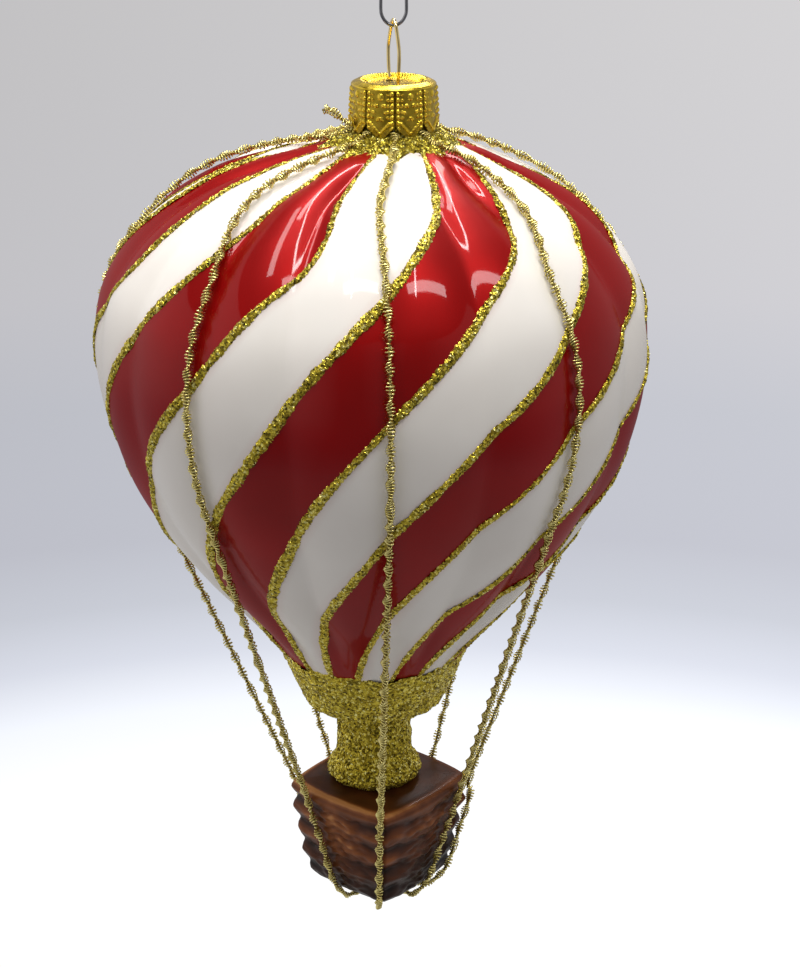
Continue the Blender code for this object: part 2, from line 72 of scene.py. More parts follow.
# The pale table and backdrop
# A round sheet of paper that sweeps up at its edge, as a photographer lays it. It is lit so evenly that it
# gives off its own light here, white under the ornament and lavender grey further out.
FLOOR_Z = -0.300
FLOOR_RINGS = 6
SWEEP_START = 0.80
SWEEP_RADIUS = 1.15
SWEEP_HEIGHT = 1.10
SWEEP_RINGS = 12
SWEEP_COLUMNS = 96


def node(tree, kind, values=(), **settings):
    """A new shader node with its settings and the values of its named or numbered inputs."""
    made = tree.nodes.new(kind)
    for name, value in settings.items():
        setattr(made, name, value)
    for name, value in dict(values).items():
        made.inputs[name].default_value = value
    return made


def ramp(tree, source, stops):
    """A colour ramp fed by a socket. Each stop is a place from 0 to 1 and a colour."""
    made = node(tree, "ShaderNodeValToRGB")
    while len(made.color_ramp.elements) < len(stops):
        made.color_ramp.elements.new(0.5)
    for element, (place, colour) in zip(made.color_ramp.elements, stops):
        element.position = place
        element.color = (*colour, 1.0)
    tree.links.new(source, made.inputs["Fac"])
    return made.outputs["Color"]


def spread(tree, source, low, high, to_low=0.0, to_high=1.0):
    """A value mapped from one range to another and kept inside it."""
    values = {"From Min": low, "From Max": high, "To Min": to_low, "To Max": to_high}
    made = node(tree, "ShaderNodeMapRange", values)
    tree.links.new(source, made.inputs["Value"])
    return made.outputs["Result"]


def new_material(name):
    """A material, its node tree and its shader."""
    made = bpy.data.materials.new(name)
    made.use_nodes = True
    return made, made.node_tree, made.node_tree.nodes["Principled BSDF"]


def skin(name, rings, smooth=True):
    """A mesh over closed rings of equal count, from top to bottom, that faces outwards."""
    rings = np.asarray(rings, float)
    left = np.arange(rings.shape[0] * rings.shape[1]).reshape(rings.shape[:2])
    right = np.roll(left, -1, axis=1)
    faces = np.stack((left[:-1], left[1:], right[1:], right[:-1]), axis=-1).reshape(-1, 4)
    mesh = bpy.data.meshes.new(name)
    mesh.from_pydata(rings.reshape(-1, 3).tolist(), [], faces.tolist())
    if smooth:
        mesh.shade_smooth()
    made = bpy.data.objects.new(name, mesh)
    bpy.context.scene.collection.objects.link(made)
    return made


sweep_profile = [(0.001, FLOOR_Z)]
sweep_profile += [(SWEEP_START * ring / FLOOR_RINGS, FLOOR_Z) for ring in range(1, FLOOR_RINGS + 1)]
sweep_bend = SWEEP_RADIUS - SWEEP_START
for ring in range(1, SWEEP_RINGS + 1):
    turn = math.pi / 2 * ring / SWEEP_RINGS
    sweep_profile.append((SWEEP_START + sweep_bend * math.sin(turn),
                          FLOOR_Z + sweep_bend * (1 - math.cos(turn))))
sweep_profile.append((SWEEP_RADIUS, FLOOR_Z + SWEEP_HEIGHT))
sweep_angles = np.linspace(0, 2 * math.pi, SWEEP_COLUMNS, endpoint=False)
backdrop = skin("backdrop", [[(r * math.sin(a), -r * math.cos(a), z) for a in sweep_angles]
                             for r, z in reversed(sweep_profile)])

paper, tree, shader = new_material("backdrop_paper")
shader.inputs["Base Color"].default_value = (0, 0, 0, 1)
shader.inputs["Roughness"].default_value = 1.0
shader.inputs["Specular IOR Level"].default_value = 0.0
place = node(tree, "ShaderNodeNewGeometry")
flat_place = node(tree, "ShaderNodeVectorMath", {1: (1, 1, 0)}, operation="MULTIPLY")
from_middle = node(tree, "ShaderNodeVectorMath", operation="LENGTH")
tree.links.new(place.outputs["Position"], flat_place.inputs[0])
tree.links.new(flat_place.outputs["Vector"], from_middle.inputs[0])
tone = ramp(tree, spread(tree, from_middle.outputs["Value"], 0.20, 1.20), (
    (0.00, (1.03, 1.03, 1.03)), (0.06, (1.01, 1.02, 1.04)), (0.095, (0.93, 0.96, 1.03)),
    (0.135, (0.70, 0.725, 0.81)), (0.18, (0.58, 0.60, 0.665)), (0.24, (0.52, 0.53, 0.59)),
    (0.40, (0.52, 0.53, 0.58)), (0.58, (0.565, 0.56, 0.59)), (1.00, (0.58, 0.57, 0.57)),
))
tree.links.new(tone, shader.inputs["Emission Color"])
sides = node(tree, "ShaderNodeSeparateXYZ")
tree.links.new(place.outputs["Position"], sides.inputs["Vector"])
rays = node(tree, "ShaderNodeLightPath")
from_sides = node(tree, "ShaderNodeMath", operation="ADD")
tree.links.new(spread(tree, sides.outputs["X"], -1.1, -0.2, 1.15, 0.0), from_sides.inputs[0])
tree.links.new(spread(tree, sides.outputs["X"], 0.2, 1.1, 0.0, 0.6), from_sides.inputs[1])
lighting = node(tree, "ShaderNodeMath", operation="ADD")
tree.links.new(spread(tree, sides.outputs["Y"], -0.4, 0.3, 0.35, 0.58), lighting.inputs[0])
tree.links.new(from_sides.outputs["Value"], lighting.inputs[1])
glow = node(tree, "ShaderNodeMix", data_type="FLOAT")
tree.links.new(rays.outputs["Is Camera Ray"], glow.inputs["Factor"])
tree.links.new(lighting.outputs["Value"], glow.inputs["A"])
tree.links.new(spread(tree, sides.outputs["X"], -0.3, 0.3, 0.93, 1.16), glow.inputs["B"])
tree.links.new(glow.outputs["Result"], shader.inputs["Emission Strength"])
backdrop.data.materials.append(paper)


# The lamps
# Bright panels and tubes overhead, whose reflections draw the pale bands and thin lines on the lacquer, and
# a small warm bulb, in a dim room.
def lamp(name, place, size, radiance, along, colour=(1, 1, 1), target=(0, 0, -0.08)):
    """A flat rectangular lamp that faces its target, with its long side along a direction."""
    light = bpy.data.lights.new(name, "AREA")
    light.shape = "RECTANGLE"
    light.size, light.size_y = size
    light.energy = radiance * size[0] * size[1] * math.pi
    light.color = colour
    made = bpy.data.objects.new(name, light)
    bpy.context.scene.collection.objects.link(made)
    back = (Vector(place) - Vector(target)).normalized()
    side = Vector(along).cross(back).normalized()
    turned = Matrix((side, back.cross(side), back)).transposed()
    made.matrix_world = Matrix.Translation(place) @ turned.to_4x4()


lamp("left_panel", (0.045, 0.29, 0.36), (0.060, 0.46), 19.0, (-0.42, -0.90, 0))
lamp("left_strip", (-0.145, 0.03, 0.36), (0.055, 0.34), 12.5, (0.3, 1, 0))
lamp("right_tube", (0.015, 0.04, 0.36), (0.013, 0.66), 40.0, (0.04, 1, 0))
lamp("cross_panel", (0.10, -0.175, 0.33), (0.065, 0.36), 13.0, (1, 0.20, 0))
lamp("warm_bulb", (0.08, 0.33, 0.30), (0.055, 0.055), 13.0, (0, 1, 0), (1.0, 0.36, 0.08))

world = bpy.data.worlds.new("room")
world.use_nodes = True
tree = world.node_tree
sky = tree.nodes["Background"]
direction = node(tree, "ShaderNodeTexCoord")
height = node(tree, "ShaderNodeSeparateXYZ")
tree.links.new(direction.outputs["Generated"], height.inputs["Vector"])
tone = ramp(tree, height.outputs["Z"], (
    (0.00, (0.12, 0.12, 0.12)), (0.55, (0.12, 0.12, 0.12)), (0.85, (0.32, 0.32, 0.32)),
    (1.00, (0.45, 0.45, 0.44)),
))
tree.links.new(tone, sky.inputs["Color"])
bpy.context.scene.world = world


# The glass envelope
# It is blown into a mould with 18 gores, so soft creases run from the neck to the throat, and its neck came
# out beside the middle. Inside it is silvered, and outside it has red lacquer and white enamel.
MM = 0.001
ENVELOPE_X = -3.65 * MM
GLASS = 1.0
GORES = 18
GORE_PHASE = math.radians(4.0)
WIDEST_DROP = 44.0
# Crests of the gores, as drop and radius in millimetres
ENVELOPE_OUTLINE = (
    (1.6, 5.6), (5.0, 5.6), (8.6, 5.6), (9.5, 6.4), (9.9, 8.0), (10.6, 11.5), (11.9, 16.8), (13.5, 21.6),
    (15.2, 26.1), (17.8, 31.0), (21.0, 35.8), (26.0, 40.7), (34.0, 45.5), (WIDEST_DROP, 47.1), (54.0, 46.1),
    (64.0, 43.1), (74.0, 37.7), (84.0, 30.7), (92.0, 23.8), (98.0, 18.6), (103.0, 14.6), (107.0, 11.7),
    (109.6, 8.0), (110.8, 3.6),
)
GLASS_STEP = 0.9
GLASS_COLUMNS = GORES * 16
CREASE_SOFTNESS = 0.09
WAVINESS = 0.13
WAVE_SINK = 1.3
# Waves of the hand-blown glass, in patches a metre, and how much each counts
WAVES = ((45, 1.0), (130, 0.3))
INSIDE_STEP = 6
# The neck is bare down to the first of these drops and painted from the second
BARE_NECK_DROPS = (7.5, 8.0)


def catmull_rom(points, steps):
    """A smooth curve through points, with the given number of steps between each pair."""
    points = np.asarray(points, float)
    ends = np.vstack((2 * points[0] - points[1], points, 2 * points[-1] - points[-2]))
    t = np.linspace(0, 1, steps, endpoint=False)[:, None]
    parts = []
    for before, start, end, after in zip(ends, ends[1:], ends[2:], ends[3:]):
        parts.append(0.5 * (2 * start + (end - before) * t
                            + (2 * before - 5 * start + 4 * end - after) * t ** 2
                            + (3 * start - before - 3 * end + after) * t ** 3))
    return np.vstack(parts + [points[-1:]])


def evened(path, step):
    """The same path with points at even distances. Columns after the third go along and aren't measured."""
    path = np.asarray(path, float)
    along = np.concatenate(([0], np.cumsum(np.linalg.norm(np.diff(path[:, :3], axis=0), axis=1))))
    places = np.linspace(0, along[-1], max(2, int(round(along[-1] / step)) + 1))
    return np.stack([np.interp(places, along, path[:, i]) for i in range(path.shape[1])], axis=1)


def softened(path, passes):
    """The same path with its small bends smoothed out. Its ends stay."""
    path = path.copy()
    for _ in range(passes):
        path[1:-1] += 0.5 * (0.5 * (path[:-2] + path[2:]) - path[1:-1])
    return path


def eased(low, high, value):
    """0 up to the low value and 1 from the high value on, with a smooth change between."""
    share = np.clip((value - low) / (high - low), 0, 1)
    return share * share * (3 - 2 * share)


glass_outline = softened(evened(catmull_rom(ENVELOPE_OUTLINE, 12), GLASS_STEP), 6)
glass_drop, glass_radius = glass_outline.T
glass_place = np.arange(len(glass_outline), dtype=float)
slope = np.gradient(glass_outline, axis=0)
slope /= np.linalg.norm(slope, axis=1)[:, None]
glass_out = np.stack((-slope[:, 1], slope[:, 0]), axis=1)
above_middle = glass_drop < WIDEST_DROP
crease_depth = np.where(
    above_middle, (1.4 - 0.2 * glass_drop / WIDEST_DROP) * eased(9.0, 21.0, glass_radius),
    1.2 * eased(14.5, 26.5, glass_radius))
glass_centre = ENVELOPE_X * np.where(above_middle, eased(7.0, 28.0, glass_radius), 1.0)


def down_glass(values, place):
    """Values that are given at every step down the outline, read at any place."""
    return np.interp(place, glass_place, values)


def crease(angle):
    """1 in a crease between two gores, 0 on the crest of a gore, with a soft bottom."""
    share = ((angle - GORE_PHASE) / (2 * math.pi / GORES)) % 1.0
    from_crease = 2 * np.minimum(share, 1 - share)
    return (1 - np.sqrt(from_crease ** 2 + CREASE_SOFTNESS ** 2) / math.hypot(1, CREASE_SOFTNESS)) ** 2


def on_glass(place, angle, lift=0.0):
    """Points at places down the outline and angles round it, lifted off the glass by millimetres."""
    place, angle = np.broadcast_arrays(np.asarray(place, float), np.asarray(angle, float))
    stand = lift - down_glass(crease_depth, place) * crease(angle)
    drop = down_glass(glass_drop, place) + stand * down_glass(glass_out[:, 0], place)
    radius = down_glass(glass_radius, place) + stand * down_glass(glass_out[:, 1], place)
    centre = down_glass(glass_centre, place)
    return np.stack((centre + radius * MM * np.sin(angle), -radius * MM * np.cos(angle),
                     CAP_TOP - drop * MM), axis=-1)


# Courses of the stripes' edges, in degrees at these drops. The first ten are at the front, each painted by
# hand with its own swirl. The others, at the back, are spaced evenly between the last and the first.
EDGES = 18
EDGE_DROPS = (10, 14, 20, 28, 38, 54, 70, 86, 102)
EDGE_COURSES = (
    (-104, -86, -83, -88, -101, -112, -125, -140, -152),
    (-67, -63, -63, -67, -80, -92, -105, -120, -132),
    (-40, -36, -39, -47, -58, -71, -84, -99, -111),
    (-16, -12, -13, -24, -34, -50, -63, -79, -91),
    (28, 26, 13, 0, -12, -26, -41, -53, -66),
    (62, 52, 41, 25, 11, -7, -20, -34, -43),
    (86, 78, 70, 53, 37, 15, -1, -16, -27),
    (110, 102, 95, 84, 61, 38, 17, 3, -10),
    (134, 126, 118, 110, 90, 63, 44, 22, 11),
    (154, 148, 140, 131, 115, 88, 67, 40, 29),
)


def edge_course(number):
    """Degrees of one edge at each of the drops."""
    drawn = len(EDGE_COURSES)
    if number < drawn:
        return EDGE_COURSES[number]
    share = (number - drawn + 1) / (EDGES - drawn + 1)
    return [last + (first + 360 - last) * share for last, first in zip(EDGE_COURSES[-1], EDGE_COURSES[0])]


edge_angles = []
for number in range(EDGES):
    course = catmull_rom(np.stack((EDGE_DROPS, edge_course(number)), axis=1), 8)
    edge_angles.append(np.radians(np.interp(glass_drop, course[:, 0], course[:, 1])))
edge_angles = np.array(edge_angles)


def paint_side(place, angle):
    """Millimetres from the nearest stripe's edge: above 0 on red lacquer, below 0 on white enamel."""
    edges = np.array([down_glass(course, place) for course in edge_angles])
    past = (angle - edges) % (2 * math.pi)
    before = (edges - angle) % (2 * math.pi)
    nearest = np.minimum(past.min(axis=0), before.min(axis=0))
    red = past.argmin(axis=0) % 2 == 0
    radius = down_glass(glass_radius, place)
    return np.where(red, 1, -1) * nearest * radius


def build_envelope():
    """The wall inside, from below upwards, and then the painted side from the lip down to the closed end."""
    angles = GORE_PHASE + np.linspace(0, 2 * math.pi, GLASS_COLUMNS, endpoint=False)
    place, angle = np.meshgrid(glass_place, angles, indexing="ij")
    rings = on_glass(place, angle)
    fade = eased(12.0, 24.0, down_glass(glass_radius, place))
    wave = np.array([[sum(share * noise.noise(Vector(point) * patches) for patches, share in WAVES)
                      for point in ring] for ring in rings])
    rings = on_glass(place, angle, WAVINESS * (wave - WAVE_SINK) * fade)
    inner_places = glass_place[::INSIDE_STEP][:-3]
    place_in, angle_in = np.meshgrid(inner_places[::-1], angles, indexing="ij")
    deepest = down_glass(crease_depth, place_in) * (1 - crease(angle_in))
    inside = on_glass(place_in, angle_in, -GLASS - deepest)
    made = skin("painted_envelope", np.concatenate((inside, rings)))
    paint = np.concatenate((np.full(inside.shape[:2], -9.0), paint_side(place, angle)))
    made.data.attributes.new("paint", "FLOAT", "POINT").data.foreach_set("value", paint.ravel())
    bare = 1 - eased(*BARE_NECK_DROPS, down_glass(glass_drop, place))
    bare = np.concatenate((np.ones(inside.shape[:2]), bare))
    made.data.attributes.new("bare", "FLOAT", "POINT").data.foreach_set("value", bare.ravel())
    return made


envelope = build_envelope()
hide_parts("envelope")
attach(envelope, "balloon")

def mottled(tree, patches, detail):
    """Soft noise all over a piece, from 0 to 1, at so many patches a metre."""
    place = node(tree, "ShaderNodeTexCoord").outputs["Object"]
    made = node(tree, "ShaderNodeTexNoise", {"Scale": patches, "Detail": detail})
    tree.links.new(place, made.inputs["Vector"])
    return made.outputs["Fac"]


lacquer, tree, shader = new_material("painted_glass")
paint = node(tree, "ShaderNodeAttribute", attribute_name="paint").outputs["Fac"]
red_side = spread(tree, paint, -0.15, 0.15)
# Deep red lacquer and warm white enamel, with a little red bled into the white along the edges
cloud = mottled(tree, 60, 3)
red = ramp(tree, cloud, ((0.3, (0.225, 0.0, 0.0)), (0.7, (0.275, 0.0, 0.0))))
white = ramp(tree, cloud, ((0.3, (0.80, 0.755, 0.69)), (0.7, (0.85, 0.81, 0.745))))
bleed = node(tree, "ShaderNodeMix", {"B": (0.72, 0.50, 0.47, 1)}, data_type="RGBA")
tree.links.new(spread(tree, paint, -2.6, -0.4, 0.0, 0.35), bleed.inputs["Factor"])
tree.links.new(white, bleed.inputs["A"])
coats = node(tree, "ShaderNodeMix", data_type="RGBA")
tree.links.new(red_side, coats.inputs["Factor"])
tree.links.new(bleed.outputs["Result"], coats.inputs["A"])
tree.links.new(red, coats.inputs["B"])
# The bare neck and the inside are silver
bare = node(tree, "ShaderNodeAttribute", attribute_name="bare").outputs["Fac"]
silvered = node(tree, "ShaderNodeMix", {"B": (0.72, 0.72, 0.70, 1)}, data_type="RGBA")
tree.links.new(bare, silvered.inputs["Factor"])
tree.links.new(coats.outputs["Result"], silvered.inputs["A"])
tree.links.new(silvered.outputs["Result"], shader.inputs["Base Color"])
# Some of the silver's shine comes through the lacquer, and none through the enamel
mirror = node(tree, "ShaderNodeMath", operation="MAXIMUM")
tree.links.new(spread(tree, red_side, 0, 1, 0.0, 0.38), mirror.inputs[0])
tree.links.new(bare, mirror.inputs[1])
tree.links.new(mirror.outputs["Value"], shader.inputs["Metallic"])
polish = node(tree, "ShaderNodeMix", {"B": 0.10}, data_type="FLOAT")
tree.links.new(bare, polish.inputs["Factor"])
tree.links.new(spread(tree, red_side, 0, 1, 0.38, 0.43), polish.inputs["A"])
tree.links.new(polish.outputs["Result"], shader.inputs["Roughness"])
shader.inputs["Specular IOR Level"].default_value = 0.15
shader.inputs["Specular Tint"].default_value = (1, 0.25, 0.25, 1)
shader.inputs["Coat Weight"].default_value = 0.075
shader.inputs["Coat IOR"].default_value = 3.0
shader.inputs["Coat Roughness"].default_value = 0.06
envelope.data.materials.append(lacquer)


# The glitter lines
# Glue is drawn along each stripe's edge with a fine nozzle and strewn with coarse olive-gold glitter, so
# every line is a low ridge of small bright flakes. A ragged collar of it lies round the neck.
LINE_DROPS = (10.2, 103.6)
LINE_HALF_WIDTH = 0.80
LINE_HEIGHT = 0.48
LINE_SUNK = 0.22
# How full each line is, in the order of the edges, and from the start again at the back
LINE_FULLNESS = (0.72, 0.80, 0.92, 1.0, 1.08, 1.05, 0.98, 0.84, 0.70, 0.66)
FLAKE = 0.25
FLAKE_THROW = 0.13
FLAKE_SHOWN = 0.35
ACROSS_LINE = 7
# The nozzle's quick and slow wobbles, in steps of a flake
WOBBLE_STEPS = (8, 60)
COLLAR_DROPS = (5.4, 10.6)
COLLAR_LIFT = 1.05
COLLAR_THROW = 0.16


def place_at(drop):
    """Place down the outline for a drop in millimetres, below the neck."""
    return np.interp(drop, glass_drop, glass_place)


def flakes_thrown(points, throw, seed):
    """Every point moved a little at random, so that flat faces catch the light each in its own way."""
    return points + np.random.default_rng(seed).uniform(-throw * MM, throw * MM, points.shape)


def glitter_line(course, fullness, seed):
    """One ridge along a stripe's edge, as rows of points across it."""
    places = np.linspace(*place_at(LINE_DROPS), 400)
    angles = down_glass(course, places)
    path = evened(np.column_stack((on_glass(places, angles, 0.02), places, angles)), FLAKE * MM)
    places, angles = path[:, 3], path[:, 4]
    middle = on_glass(places, angles)
    along = np.gradient(middle, axis=0)
    along /= np.linalg.norm(along, axis=1)[:, None]
    out = on_glass(places, angles, 1.0) - middle
    out /= np.linalg.norm(out, axis=1)[:, None]
    side = np.cross(out, along)
    rng = np.random.default_rng(seed)
    wobbles = []
    for spacing in WOBBLE_STEPS:
        knots = rng.uniform(-1, 1, len(places) // spacing + 3)
        wobbles.append(np.interp(np.arange(len(places)) / spacing, np.arange(len(knots)), knots))
    wobble, swell = wobbles
    broad = eased(10.0, 30.0, down_glass(glass_drop, places))
    width = LINE_HALF_WIDTH * fullness * (0.74 + 0.26 * broad) * (1 + 0.22 * wobble + 0.24 * swell)
    height = LINE_HEIGHT * (0.75 + 0.25 * broad) * (0.8 + 0.2 * np.roll(wobble, 5))
    rows = []
    for u in np.linspace(-1, 1, ACROSS_LINE):
        lift = height * math.sqrt(max(0.0, 1 - u * u)) - LINE_SUNK
        rows.append(middle + side * (u * width * MM)[:, None] + out * (lift * MM)[:, None])
    return flakes_thrown(np.stack(rows, axis=1), FLAKE_THROW, seed + 100)


def joined(name, grids):
    """One mesh with flat faces from several open grids of points."""
    points, faces, start = [], [], 0
    for grid in grids:
        index = start + np.arange(grid.shape[0] * grid.shape[1]).reshape(grid.shape[:2])
        faces.append(np.stack((index[:-1, :-1], index[1:, :-1], index[1:, 1:], index[:-1, 1:]),
                              axis=-1).reshape(-1, 4))
        points.append(grid.reshape(-1, 3))
        start += grid.shape[0] * grid.shape[1]
    mesh = bpy.data.meshes.new(name)
    mesh.from_pydata(np.vstack(points).tolist(), [], np.vstack(faces).tolist())
    made = bpy.data.objects.new(name, mesh)
    bpy.context.scene.collection.objects.link(made)
    return made


lines = joined("glitter_lines", [
    glitter_line(course, LINE_FULLNESS[number % len(LINE_FULLNESS)], 10 + number)
    for number, course in enumerate(edge_angles)
])
collar_angles = np.linspace(0, 2 * math.pi, 220)
collar_share = np.linspace(0, 1, 34)[:, None]
ragged = 1 + 0.10 * np.sin(9 * collar_angles + 1) + 0.07 * np.sin(17 * collar_angles)
collar_ends = place_at(COLLAR_DROPS)
collar_place = collar_ends[0] + (collar_ends[1] - collar_ends[0]) * collar_share * ragged
collar_lift = COLLAR_LIFT * (1 - eased(0.55, 1.0, collar_share)) + 0.35 * eased(0.4, 0.6, collar_share) * (
    1 - eased(0.6, 1.0, collar_share)) - 0.12
collar_points = on_glass(collar_place, collar_angles, collar_lift)
collar = joined("glitter_collar", [flakes_thrown(collar_points, COLLAR_THROW, 5)])

glitter, tree, shader = new_material("gold_glitter")
place = node(tree, "ShaderNodeTexCoord").outputs["Object"]
# Every flake has its own tone and gloss, and the glitter is painted darker towards the top, as shade
flake = node(tree, "ShaderNodeTexVoronoi", {"Scale": 1 / (FLAKE_SHOWN * MM)})
tree.links.new(place, flake.inputs["Vector"])
pick = node(tree, "ShaderNodeSeparateColor")
tree.links.new(flake.outputs["Color"], pick.inputs["Color"])
tone = ramp(tree, pick.outputs["Red"], (
    (0.00, (0.070, 0.048, 0.004)), (0.25, (0.33, 0.245, 0.016)), (0.60, (0.60, 0.465, 0.036)),
    (0.86, (0.85, 0.70, 0.085)), (1.00, (1.00, 0.93, 0.36)),
))
height = node(tree, "ShaderNodeSeparateXYZ")
tree.links.new(place, height.inputs["Vector"])
tone_with_painted_light = node(tree, "ShaderNodeMix", {"A": (0, 0, 0, 1)}, data_type="RGBA")
tree.links.new(spread(tree, height.outputs["Z"], -0.130, -0.060, 1.0, 0.66), tone_with_painted_light.inputs["Factor"])
tree.links.new(tone, tone_with_painted_light.inputs["B"])
tree.links.new(tone_with_painted_light.outputs["Result"], shader.inputs["Base Color"])
shader.inputs["Metallic"].default_value = 0.8
tree.links.new(spread(tree, pick.outputs["Green"], 0, 1, 0.18, 0.50), shader.inputs["Roughness"])
tilt = node(tree, "ShaderNodeBump", {"Strength": 0.6, "Distance": 0.0001})
tree.links.new(flake.outputs["Distance"], tilt.inputs["Height"])
tree.links.new(tilt.outputs["Normal"], shader.inputs["Normal"])
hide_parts("envelope")
for piece in (lines, collar):
    piece.data.materials.append(glitter)
    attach(piece, "balloon")


# The throat
# The envelope's lower end sits in a cup on a short neck and a thick foot. It is glass too, but glued over
# with glitter so thick that none shows.
THROAT_OUTLINE = (
    (100.6, 16.4), (101.6, 16.3), (102.6, 15.9), (104.5, 15.2), (107.0, 14.0), (109.5, 12.9), (110.9, 12.2),
    (111.8, 10.6), (112.5, 8.6), (113.2, 7.1), (114.5, 6.6), (118.0, 6.6), (121.4, 6.7), (123.0, 7.3),
    (124.2, 8.1), (125.4, 8.4), (126.4, 8.0), (127.1, 7.0),
)
THROAT_STEP = 0.27
THROAT_COLUMNS = 270
THROAT_THROW = 0.14
LIP_WAVE = 0.8
LUMP_HEIGHT = 0.45
throat_path = evened(catmull_rom(THROAT_OUTLINE, 8), THROAT_STEP)
throat_angles = np.linspace(0, 2 * math.pi, THROAT_COLUMNS, endpoint=False)
throat_drop = np.repeat(throat_path[:, :1], len(throat_angles), axis=1)
throat_radius = np.repeat(throat_path[:, 1:], len(throat_angles), axis=1)
lip = (1 - eased(100.6, 104.0, throat_drop)) * (0.6 * np.sin(5 * throat_angles + 0.4)
                                                + 0.4 * np.sin(13 * throat_angles))
throat_drop = throat_drop + LIP_WAVE * lip
lumps = np.array([[noise.noise(Vector((math.sin(angle) * radius, math.cos(angle) * radius, drop)) * 0.45)
                   for angle, radius, drop in zip(throat_angles, radii, drops)]
                  for radii, drops in zip(throat_radius, throat_drop)])
throat_radius = throat_radius + LUMP_HEIGHT * lumps
throat_rings = np.stack((ENVELOPE_X + throat_radius * MM * np.sin(throat_angles),
                         -throat_radius * MM * np.cos(throat_angles), CAP_TOP - throat_drop * MM), axis=-1)
throat = skin("glittered_throat", flakes_thrown(throat_rings, THROAT_THROW, 3), smooth=False)
throat.data.materials.append(glitter)
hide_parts("throat")
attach(throat, "balloon")


# The basket
# A blown rounded square with moulded bands of wickerwork, under brown lacquer. Its colour is partly painted
# light: the rim's lacquer is rubbed lighter and has a copper painted highlight, strongest on the lit side,
# raised wickerwork has a painted highlight and its grooves painted shade, and low down, on the side away
# from the light and underneath it is painted nearly black, as shade.
BASKET_X = ENVELOPE_X + 0.8 * MM
BASKET_YAW = math.radians(5.0)
BASKET_RIM_DROP = 128.4
BASKET_BOTTOM_DROP = 148.9
BASKET_TAPER = (
    (0.0, 16.1), (0.25, 15.7), (0.47, 14.8), (0.68, 14.2), (0.80, 13.5), (0.88, 12.7), (0.93, 11.8),
    (0.97, 10.5), (1.0, 9.0),
)
RIM_SQUARENESS = 1.18
SQUARENESS = 1.13
BASKET_BANDS = 4.5
FIRST_BAND = 0.07
BAND_CREST = 0.1
BAND_DEPTH = 0.9
COURSES_PER_BAND = 3
STAKES = 28
BASKET_COLUMNS = 288
BASKET_ROWS = 132
BASKET_TOP_SHARE = 0.035
# Rings of the domed top and of the underside, as shares of the rim's or the bottom's radius and drops
BASKET_DOME = (
    (0.0, 127.15), (0.3, 127.2), (0.52, 127.3), (0.68, 127.45), (0.80, 127.75), (0.86, 127.85),
    (0.90, 127.86), (0.935, 127.93), (0.96, 128.1), (0.98, 128.4), (0.995, 128.8),
)
BASKET_UNDERSIDE = ((0.85, 149.0), (0.5, 149.05), (0.0, 149.05))


def basket_radius(angle, share):
    """Radius of the rounded square in millimetres, without its wickerwork."""
    shares, radii = np.transpose(BASKET_TAPER)
    turn = angle - BASKET_YAW
    power = SQUARENESS + (RIM_SQUARENESS - SQUARENESS) * (1 - eased(0.0, 0.25, share))
    square = (np.abs(np.cos(turn)) ** power + np.abs(np.sin(turn)) ** power) ** (1 / power)
    return np.interp(share, shares, radii) / square


def around(centre_x, radius, angle, drop):
    """Points at angles round an upright axis, with radius and drop in millimetres."""
    return np.stack((centre_x + radius * MM * np.sin(angle), -radius * MM * np.cos(angle),
                     CAP_TOP - drop * MM + 0 * angle), axis=-1)


def wickerwork(angles, share):
    """Relief of the moulded wickerwork round the basket at one share of its height, in millimetres."""
    turn = angles - BASKET_YAW
    sag = 0.010 * np.sin(3 * angles + 2) + 0.008 * np.sin(7 * angles)
    band = BASKET_BANDS * (share + sag) - FIRST_BAND
    dip = (0.5 - 0.5 * np.cos(2 * math.pi * band)) ** 1.3
    corner = np.abs(np.cos(2 * turn)) ** 3
    below_rim = eased(0.08, 0.13, share)
    course = np.cos(2 * math.pi * COURSES_PER_BAND * band + 1.3 * np.sin(STAKES / 2 * turn))
    stake = np.sin(STAKES * turn + math.pi * np.floor(COURSES_PER_BAND * band + 0.5))
    rough = np.array([noise.noise(Vector((math.sin(a) * 5, math.cos(a) * 5, share * 10))) for a in angles])
    woven = (0.10 * course + 0.07 * stake) * (1 - 0.6 * corner) + 0.34 * rough
    return BAND_CREST - BAND_DEPTH * dip * (0.26 + 0.62 * corner) + below_rim * np.minimum(woven, 0.35)


